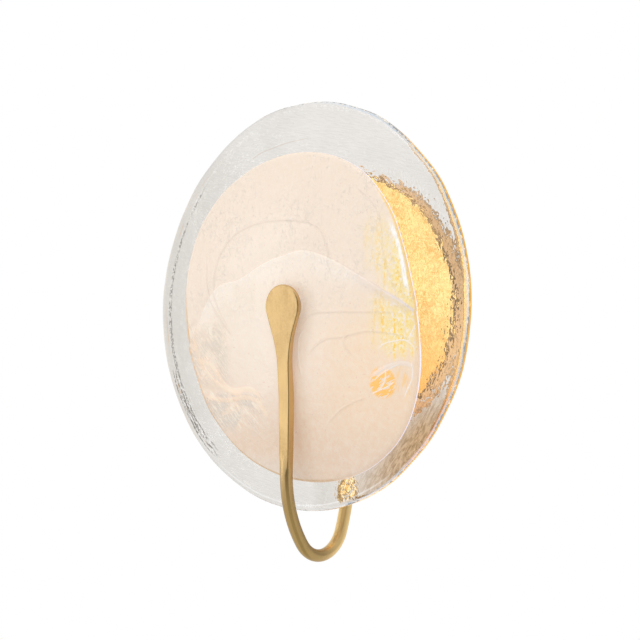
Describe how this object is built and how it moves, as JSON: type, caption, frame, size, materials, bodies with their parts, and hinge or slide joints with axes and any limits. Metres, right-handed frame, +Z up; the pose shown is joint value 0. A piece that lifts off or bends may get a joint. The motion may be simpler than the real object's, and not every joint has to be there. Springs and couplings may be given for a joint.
{
  "type": "wall sconce",
  "caption": "Wall light with a small frosted cast-glass disc over a larger clear one, held in front of a round gold canopy by a hairpin brass arm with a flat head.",
  "frame": {"origin": "on the wall, at the centre of the crossbar and of the canopy", "axes": "+Z up the wall, -Y out into the room, +X to the right for someone who faces the wall"},
  "size_m": [0.3048, 0.098, 0.3447],
  "materials": {
    "canopy_gold": "satin gold plate",
    "arm_brass": "aged satin brass",
    "stack_brass": "turned brass",
    "frosted_glass": "frosted cast glass",
    "clear_glass": "clear rippled cast glass",
    "lamp_glass": "frosted lamp cover",
    "zinc_steel": "zinc plated",
    "green_screw": "green earth screw",
    "silicone": "translucent silicone",
    "nylon": "white nylon",
    "ceramic": "glazed ceramic",
    "contact_metal": "nickel plated",
    "lamp_core": "light source",
    "lead_live": "silicone sleeved lead",
    "lead_neutral": "silicone sleeved lead"
  },
  "bodies": {
    "fixture": {"wall_strap": "zinc_steel", "earth_screw": "green_screw", "canopy": "canopy_gold", "arm": "arm_brass", "arm_screws": "zinc_steel", "stud": "stack_brass", "front_collar": "stack_brass", "front_washer": "silicone", "glass_bush": "nylon", "frosted_glass": "frosted_glass", "spacer_washers": "silicone", "glass_spacer": "stack_brass", "clear_glass": "clear_glass", "rear_washer": "silicone", "cup_washer": "stack_brass", "holder_bracket": "zinc_steel", "bracket_screws": "zinc_steel", "bracket_nuts": "zinc_steel", "lamp_holder": "ceramic", "holder_contacts": "contact_metal", "holder_screws": "zinc_steel", "lead_bush": "nylon", "live_lead": "lead_live", "neutral_lead": "lead_neutral", "terminal_block": "nylon", "terminal_screws": "contact_metal", "block_stud": "zinc_steel", "block_nut": "zinc_steel"},
    "lamp": {"lamp_base": "ceramic", "lamp_pins": "contact_metal", "lamp_cover": "lamp_glass", "lamp_core": "lamp_core"},
    "top_screw": {"canopy_screw_top": "canopy_gold"},
    "bottom_screw": {"canopy_screw_bottom": "canopy_gold"},
    "glass_nut": {"knurled_nut": "stack_brass"}
  },
  "joints": [
    {"name": "lamp_pull", "type": "slide", "parent": "fixture", "child": "lamp", "axis": [0, 0, 1], "range_m": [0, 0.018]},
    {"name": "top_screw_turn", "type": "hinge", "parent": "fixture", "child": "top_screw", "pos_m": [0, -0.008, 0.098], "axis": [0, 0, 1], "continuous": true},
    {"name": "bottom_screw_turn", "type": "hinge", "parent": "fixture", "child": "bottom_screw", "pos_m": [0, -0.008, -0.098], "axis": [0, 0, -1], "continuous": true},
    {"name": "glass_nut_turn", "type": "hinge", "parent": "fixture", "child": "glass_nut", "pos_m": [0, -0.0645, -0.0032], "axis": [0, 1, 0], "continuous": true}
  ]
}
